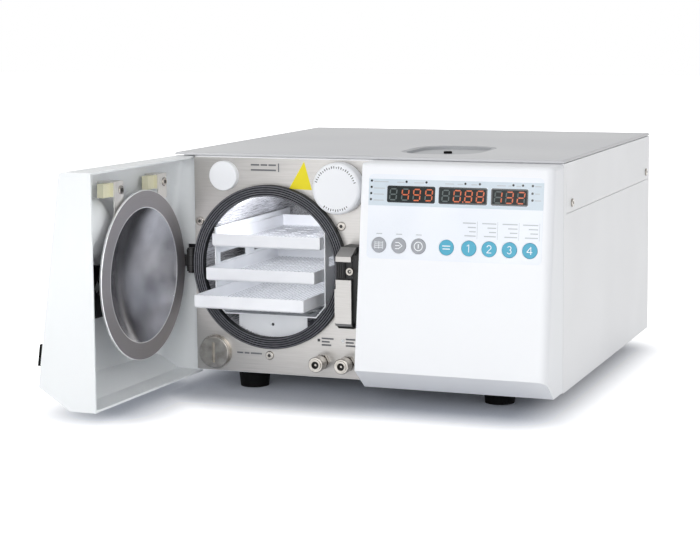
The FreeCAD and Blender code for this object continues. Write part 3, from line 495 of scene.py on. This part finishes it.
def segment(letter, cx, cz):
    half = digit["width"] / 2
    rise = digit["height"] / 2
    gap = digit["gap"]
    tip = digit["bar"] / 2
    level = {"a": rise, "g": 0, "d": -rise}
    if letter in level:
        left, right, z = gap - half, half - gap, level[letter]
        shape = [(left, z), (left + tip, z - tip), (right - tip, z - tip),
                 (right, z), (right - tip, z + tip), (left + tip, z + tip)]
    else:
        x = half if letter in "bc" else -half
        low, high = (gap, rise - gap) if letter in "bf" else (gap - rise, -gap)
        shape = [(x, low), (x + tip, low + tip), (x + tip, high - tip),
                 (x, high), (x - tip, high - tip), (x - tip, low + tip)]
    return [(cx + u + digit["slant"] * v / digit["height"], cz + v) for u, v in shape]


def addReadouts():
    middle = digit["middle"]
    for side, digits in readouts.items():
        lit, dark = ([segment(letter, x, middle) for x, number in digits for letter in "abcdefg"
                      if (letter in segmentsLit[number]) == wanted] for wanted in (True, False))
        if side == "middle":
            lit.append(circle(point["x"], middle - point["below"], point["radius"],
                              point["corners"]))
        addSlabs("segments_lit_" + side, lit, digit["litDepth"], digit["lift"], onSlope,
                 "litOrange")
        addSlabs("segments_dark_" + side, dark, digit["darkDepth"], digit["lift"], onSlope,
                 "ghostSegment")
    for side, (x0, x1) in window["spans"].items():
        field = rectangle(x0, x1, window["low"], window["high"])
        addSlabs("window_field_" + side, [field], window["depth"], digit["lift"], onSlope,
                 "windowField")


addReadouts()
print("readouts", len(readouts))

# Printed fields of the keypad film: the band round the windows, small lamps, plain bars
film = {
    "lift": 0.5, "depth": 0.03, "band": (209.5, 238.8), "windows": (213.2, 231.8),
    "edges": (261.0, 282.7, 338.8, 342.8, 398.6, 402.7, 444.6, 461.8),
    "lampRadius": 1.35, "lampDepth": 0.12,
    "lamps": [(264.2, 236.6), (264.2, 229.6), (263.9, 222.7), (263.8, 216.1), (305.1, 236.3),
              (328.3, 236.2), (373.2, 235.8), (389.7, 235.8), (427.5, 235.7), (438.3, 235.6),
              (449.3, 235.5), (449.2, 227.3), (449.4, 220.0)],
    "barHalf": 0.5, "barDepth": 0.02,
    "bars": [(267, 284, 235.7), (267, 280, 228.5), (267, 279, 221.9), (267, 279, 215.3),
             (294, 302.5, 235.6), (314, 325.5, 235.4), (350, 360, 235.2), (364, 370.5, 235.2),
             (380, 386.8, 235.0), (409, 419, 234.8), (422, 425.5, 234.8), (431, 436, 234.8),
             (452, 459, 234.9), (452, 457.5, 227.0), (452, 459, 219.7)],
    "columns": [(372, 387), (394, 410), (417, 434), (440, 457)],
    "rowShares": (1.0, 0.62, 0.5, 0.85), "rowTop": 193.4, "rowPitch": 4.6, "rowHalf": 0.55,
    "rule": {"from": 1.4, "to": 1.8, "low": 176.5, "high": 195.5},
    "greyKeyBars": {"x": (275.3, 298.7, 321.7), "half": 3.4, "low": 178.0, "high": 179.0},
}


def addFilmPrint():
    low, high = film["windows"]
    edges = film["edges"]
    band = [rectangle(edges[0], edges[-1], high, film["band"][1]),
            rectangle(edges[0], edges[-1], film["band"][0], low)]
    band += [rectangle(x0, x1, low, high) for x0, x1 in zip(edges[::2], edges[1::2])]
    addSlabs("film_band", band, film["depth"], film["lift"], onSlope, "bandFilm")
    lamps = [circle(x, z, film["lampRadius"]) for x, z in film["lamps"]]
    addSlabs("film_lights", lamps, film["lampDepth"], film["lift"], onSlope, "darkLens")
    half = film["barHalf"]
    bars = [rectangle(x0, x1, z - half, z + half) for x0, x1, z in film["bars"]]
    addSlabs("film_bars", bars, film["barDepth"], film["lift"] + film["depth"], onSlope,
             "greyPrint")
    rows = []
    half = film["rowHalf"]
    rule = film["rule"]
    for x0, x1 in film["columns"]:
        for row, share in enumerate(film["rowShares"]):
            z = film["rowTop"] - film["rowPitch"] * row
            rows.append(rectangle(x1 - (x1 - x0) * share, x1, z - half, z + half))
        rows.append(rectangle(x1 + rule["from"], x1 + rule["to"], rule["low"], rule["high"]))
    under = film["greyKeyBars"]
    rows += [rectangle(x - under["half"], x + under["half"], under["low"], under["high"])
             for x in under["x"]]
    addSlabs("film_rows", rows, film["barDepth"], film["lift"], onSlope, "greyPrint")


addFilmPrint()
print("film print set")

# White marks on the keys; they ride on the caps. Each key has rings as (height, inner, outer,
# first, last, parts) and strokes as (x0, z0, x1, z1, width), both from the key's centre
keys = {"x": (275.3, 298.7, 321.7, 354.1, 379.8, 402.8, 425.7, 448.6), "z": 166.0,
        "lift": 1.0, "depth": 0.03}
thin, line, bold = 0.6, 0.9, 1.1
keySigns = [
    ([], [(-4.6, dz, 4.6, dz, thin) for dz in (-3, -1, 1, 3)]
     + [(dx, -4, dx, 4, thin) for dx in (-4.6, 0, 4.6)]),
    ([], [(-4, -3.4, -0.2, -3.4, line), (-4, 3.4, -0.2, 3.4, line), (-0.2, 3.6, 4.2, 0, line),
          (-0.2, -3.6, 4.2, 0, line), (-4, 0, 1.2, 0, line)]),
    ([(0, 4.2, 5.2, 0, 360, 24)], [(0, -2.4, 0, 2.4, 1.2)]),
    ([], [(-4.6, 1.6, 4.6, 1.6, bold), (-4.2, -1.6, 4.2, -1.6, bold)]),
    ([], [(0, -4.2, 0, 4.2, line), (0, 4.0, -2.2, 2.4, line)]),
    ([(1.7, 1.9, 2.8, -40, 170, 12)],
     [(2.0, 0.6, -2.6, -3.9, line), (-2.6, -3.9, 2.8, -3.9, line)]),
    ([(2.0, 1.5, 2.4, -85, 160, 12), (-1.9, 1.7, 2.6, -160, 85, 12)], []),
    ([], [(1.2, -4.2, 1.2, 4.2, line), (1.2, 4.2, -3.2, -1.4, line),
          (-3.4, -1.6, 3.0, -1.6, line)]),
]


def addKeyMarks():
    z = keys["z"]
    for number, (x, (rings, strokes)) in enumerate(zip(keys["x"], keySigns), 1):
        marks = [part for dz, *ring in rings for part in ringParts(x, z + dz, *ring)]
        marks += [stroke(x + x0, z + z0, x + x1, z + z1, width)
                  for x0, z0, x1, z1, width in strokes]
        addSlabs("key_mark_%d" % number, marks, keys["depth"], keys["lift"], onSlope,
                 "whitePrint", "key_%d_body" % number)


addKeyMarks()
print("key marks", len(keys["x"]))

# Fields on the steel front and ticks on the filter cap
front = {
    "yellow": [(145.0, 219.8), (173.8, 219.1), (164.4, 252.0)], "yellowDepth": 0.08,
    "bars": [(97, 108, 246.8), (109.5, 118, 246.8), (119.5, 129, 246.8), (97, 129, 240.8),
             (76, 84, 23.4), (85.5, 92, 23.4), (93.5, 108, 23.4), (184, 199, 46.2),
             (184, 194, 42.4), (184, 196, 38.6), (214, 226, 46.6), (214, 224, 42.8),
             (214, 226, 39.0)],
    "barHalf": 1.0, "barDepth": 0.04, "rule": (131.5, 133, 239, 249),
    "square": (178.9, 182.1, 42.3, 45.5), "disc": (210.5, 44.6, 1.9), "dotDepth": 0.06,
}
capTicks = {"at": (209.8, 223.0), "face": 18.0, "inner": 23.4, "outer": 26.2, "shorter": 0.9,
            "width": 1.0, "depth": 0.03, "arcs": ((18, 162, 22), (236, 304, 11))}


def addFrontPrint():
    addSlabs("panel_yellow_field", [front["yellow"]], front["yellowDepth"], 0.0, onPanel,
             "yellowField")
    half = front["barHalf"]
    bars = [rectangle(x0, x1, z - half, z + half) for x0, x1, z in front["bars"]]
    bars.append(rectangle(*front["rule"]))
    addSlabs("panel_bars", bars, front["barDepth"], 0.0, onPanel, "panelPrint")
    addSlabs("panel_dot_black", [rectangle(*front["square"])], front["dotDepth"], 0.0, onPanel,
             "blackPrintAndPaintedShade")
    addSlabs("panel_dot_white", [circle(*front["disc"])], front["dotDepth"], 0.0, onPanel,
             "whitePrint")
    x, z = capTicks["at"]
    ticks = []
    for first, last, count in capTicks["arcs"]:
        for i in range(count):
            turn = math.radians(first + (last - first) * i / (count - 1))
            inner = capTicks["inner"]
            outer = capTicks["outer"] - capTicks["shorter"] * (i % 3 == 1)
            ticks.append(stroke(x + inner * math.cos(turn), z + inner * math.sin(turn),
                                x + outer * math.cos(turn), z + outer * math.sin(turn),
                                capTicks["width"]))
    addSlabs("filter_cap_ticks", ticks, capTicks["depth"], capTicks["face"], onPanel,
             "blackPrintAndPaintedShade", "filter_cap_body")


addFrontPrint()
print("front print set")

# Painted shade: dark discs and rings in the screw sockets, coupling bores and lock bolt bore, so
# that they read as dark from a step away
bores = {
    "thick": 0.05, "corners": 6,
    "screws": [(30.6, 178.4), (210.1, 178.3), (118.2, 22.1)], "screwSocket": 2.1,
    "screwFace": 2.2, "screwDepth": 1.35,
    "couplings": [(185.8, 19.2), (217.4, 19.1)], "couplingRing": (1.4, 4.35),
    "couplingFace": 26.0, "couplingDepth": 9.0,
    "strapScrews": [(163.5, 229.0), (63.5, 229.0)], "strapSocket": 2.3, "strapFace": 12.2,
    "bolt": (235.6, 132.5), "boltRing": (1.0, 2.2), "boltFloor": 41.02,
}


def onStrap(x, z, out=0.0):
    return onDoor(x, -bores["strapFace"] + out, z)


def addBores():
    sockets = [circle(x, z, bores["screwSocket"], bores["corners"]) for x, z in bores["screws"]]
    addSlabs("panel_screw_socket_shade", sockets, bores["thick"],
             bores["screwFace"] - bores["screwDepth"], onPanel, "blackPrintAndPaintedShade")
    rings = [part for x, z in bores["couplings"]
             for part in ringParts(x, z, *bores["couplingRing"])]
    addSlabs("coupling_bore_shade", rings, bores["thick"],
             bores["couplingFace"] - bores["couplingDepth"], onPanel, "blackPrintAndPaintedShade")
    sockets = [circle(x, z, bores["strapSocket"], bores["corners"])
               for x, z in bores["strapScrews"]]
    addSlabs("strap_screw_socket_shade", sockets, bores["thick"], -bores["screwDepth"], onStrap,
             "blackPrintAndPaintedShade", "door")
    addSlabs("lock_bolt_bore_shade", ringParts(*bores["bolt"], *bores["boltRing"]), bores["thick"],
             bores["boltFloor"], onPanel, "blackPrintAndPaintedShade", "lock_bolt_body")


addBores()
print("bores shaded")

# Solved from the cabinet's edges; focal length in pixels of a 700 pixel wide picture
view = {"focal": 1857.7, "width": 700, "sensor": 36, "at": (979.73, -1976.59, 433.13),
        "yaw": 21.008, "pitch": 6.35, "roll": -0.48, "shift": -0.1}


def addCamera():
    yaw, pitch, roll = (math.radians(view[key]) for key in ("yaw", "pitch", "roll"))
    forward = Vector((-math.sin(yaw) * math.cos(pitch), math.cos(yaw) * math.cos(pitch),
                      -math.sin(pitch)))
    side = Vector((math.cos(yaw), math.sin(yaw), 0))
    above = side.cross(forward)
    right = math.cos(roll) * side + math.sin(roll) * above
    up = -math.sin(roll) * side + math.cos(roll) * above
    camera = bpy.data.objects.new("camera", bpy.data.cameras.new("camera"))
    camera.data.sensor_width = view["sensor"]
    camera.data.lens = view["focal"] * view["sensor"] / view["width"]
    camera.data.shift_y = view["shift"]
    turned = Matrix((right, up, -forward)).transposed().to_4x4()
    camera.matrix_world = Matrix.Translation(mm(*view["at"])) @ turned
    bpy.context.scene.collection.objects.link(camera)
    bpy.context.scene.camera = camera


def seenRays(tree):
    # 1 for what the camera, a reflection or a clear part looks at
    rays = addNode(tree, "ShaderNodeLightPath")
    mirrored = addNode(tree, "ShaderNodeMath", {"operation": "MAXIMUM"}, {
        0: rays.outputs["Is Camera Ray"], 1: rays.outputs["Is Glossy Ray"]})
    return addNode(tree, "ShaderNodeMath", {"operation": "MAXIMUM"}, {
        0: mirrored, 1: rays.outputs["Is Transmission Ray"]})


# The machine's two blocks on the floor, each as (centre, half size) in metres, the door's in
# the door's own space, so that it moves with it; a painted shadow darkens the floor near them
floor = {
    "reach": 9.0, "pale": ("#F6F6F7", "#FBFBFB"), "paintedShade": ("#C2C6CF", "#C8CCD4"),
    "rough": 0.9, "near": -0.01, "far": 0.16, "white": "#FFFFFF",
    "cabinet": ((0.01, 0.07, 0), (0.2, 0.21, 9)), "door": ((-0.22, -0.18, 0), (0.0, 0.08, 9)),
}
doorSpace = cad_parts["door_shell"]


def awayFrom(tree, where, box):
    # distance on the floor to one block of the machine
    centre, half = box
    aside = addNode(tree, "ShaderNodeVectorMath", {"operation": "SUBTRACT"}, {
        0: where, 1: centre})
    mirrored = addNode(tree, "ShaderNodeVectorMath", {"operation": "ABSOLUTE"}, {0: aside})
    past = addNode(tree, "ShaderNodeVectorMath", {"operation": "SUBTRACT"}, {
        0: mirrored, 1: half})
    outside = addNode(tree, "ShaderNodeVectorMath", {"operation": "MAXIMUM"}, {
        0: past, 1: (0, 0, 0)})
    length = addNode(tree, "ShaderNodeVectorMath", {"operation": "LENGTH"}, {0: outside})
    return length.outputs["Value"]


def addFloor():
    # pale paper that runs into the white background away from the machine; near it the glow fades
    # out and the colour turns darker, a painted shadow on top of the real one
    material, tree, shader, where = startMaterial("studioPaperWithPaintedShadow", Specular_IOR_Level=0.1)
    fibres = grain(tree, where, sizeMm=3, detail=3.0)
    pale, paintedShade = (addNode(tree, "ShaderNodeValToRGB", inputs={"Fac": fibres},
                            stops=list(zip((0.3, 0.7), floor[tone])))
                    for tone in ("pale", "paintedShade"))
    fromDoor = addNode(tree, "ShaderNodeTexCoord", {"object": doorSpace}).outputs["Object"]
    away = addNode(tree, "ShaderNodeMath", {"operation": "MINIMUM"}, {
        0: awayFrom(tree, where, floor["cabinet"]), 1: awayFrom(tree, fromDoor, floor["door"])})
    glow = addNode(tree, "ShaderNodeMapRange", {"interpolation_type": "SMOOTHSTEP"}, {
        "Value": away, "From Min": floor["near"], "From Max": floor["far"]})
    # painted shadow: the colour runs from the darker tones near the machine to the pale ones away
    # from it
    paper = addNode(tree, "ShaderNodeMix", mixing["settings"], {
        "Factor": glow, mixing["first"]: paintedShade, mixing["second"]: pale})
    shown = addNode(tree, "ShaderNodeMath", {"operation": "MULTIPLY"}, {
        0: glow, 1: seenRays(tree)})
    feed(tree, shader.inputs["Emission Color"], linear(floor["white"]))
    feed(tree, shader.inputs["Emission Strength"], shown)
    dress(tree, shader, paper.outputs[mixing["result"]], floor["rough"], fibres,
          depthMm=0.05, strength=0.1)

    def build(shape):
        reach = floor["reach"]
        corners = ((-reach, -reach), (reach, -reach), (reach, reach), (-reach, reach))
        shape.faces.new([shape.verts.new((x, y, 0)) for x, y in corners])
    sheet = addMesh("floor", build, material)


backdrop = {"white": "#FFFFFF", "rest": 0.63, "seen": 1.0}


def addWorld():
    # white to the eye, a dimmer even fill for the object
    world = bpy.data.worlds.new("studio")
    world.use_nodes = True
    bpy.context.scene.world = world
    tree = world.node_tree
    tree.nodes.clear()
    strength = addNode(tree, "ShaderNodeMapRange", inputs={
        "Value": seenRays(tree), "To Min": backdrop["rest"], "To Max": backdrop["seen"]})
    sky = addNode(tree, "ShaderNodeBackground", inputs={
        "Color": linear(backdrop["white"]), "Strength": strength})
    addNode(tree, "ShaderNodeOutputWorld", inputs={"Surface": sky})


# Lamps as (place, aim, size, power, seen in reflections, spread in degrees); the two between
# the trays keep their floors pale
aim = (-0.08, -0.1, 0.14)
axisX = chamber["x"]
lamps = {
    "front": ((0.7, -2.6, 0.85), aim, (2.0, 1.2), 14, True, 180),
    "left": ((-2.2, -1.5, 1.2), aim, (1.4, 1.4), 5.2, True, 180),
    "chamber": ((0.05, -1.1, 0.36), aim, (0.4, 0.2), 1.2, True, 180),
    "mouth": (mm(axisX, 8, 203), mm(axisX, 190, 120), (0.09, 0.015), 0.19, True, 180),
    "doorInside": ((0.75, -0.6, 0.4), (-0.24, -0.26, 0.12), (0.2, 0.2), 0.07, True, 26),
    "middleTray": (mm(axisX, 80, 148), mm(axisX, 80, 60), (0.12, 0.15), 0.045, False, 180),
    "bottomTray": (mm(axisX, 60, 111.5), mm(axisX, 60, 60), (0.12, 0.15), 0.045, False, 180),
}


def addLamp(name, at, aim, size, power, reflected, spread):
    light = bpy.data.lights.new(name, "AREA")
    light.shape = "RECTANGLE"
    light.size, light.size_y = size
    light.energy = power
    light.spread = math.radians(spread)
    lamp = bpy.data.objects.new(name, light)
    lamp.visible_camera = False
    lamp.visible_glossy = reflected
    lamp.location = at
    lamp.rotation_euler = (Vector(aim) - Vector(at)).to_track_quat("-Z", "Y").to_euler()
    bpy.context.scene.collection.objects.link(lamp)


addCamera()
addFloor()
addWorld()
for name, lamp in lamps.items():
    addLamp(name, *lamp)
bpy.context.scene.view_settings.view_transform = "Standard"
print("camera, floor and light set")
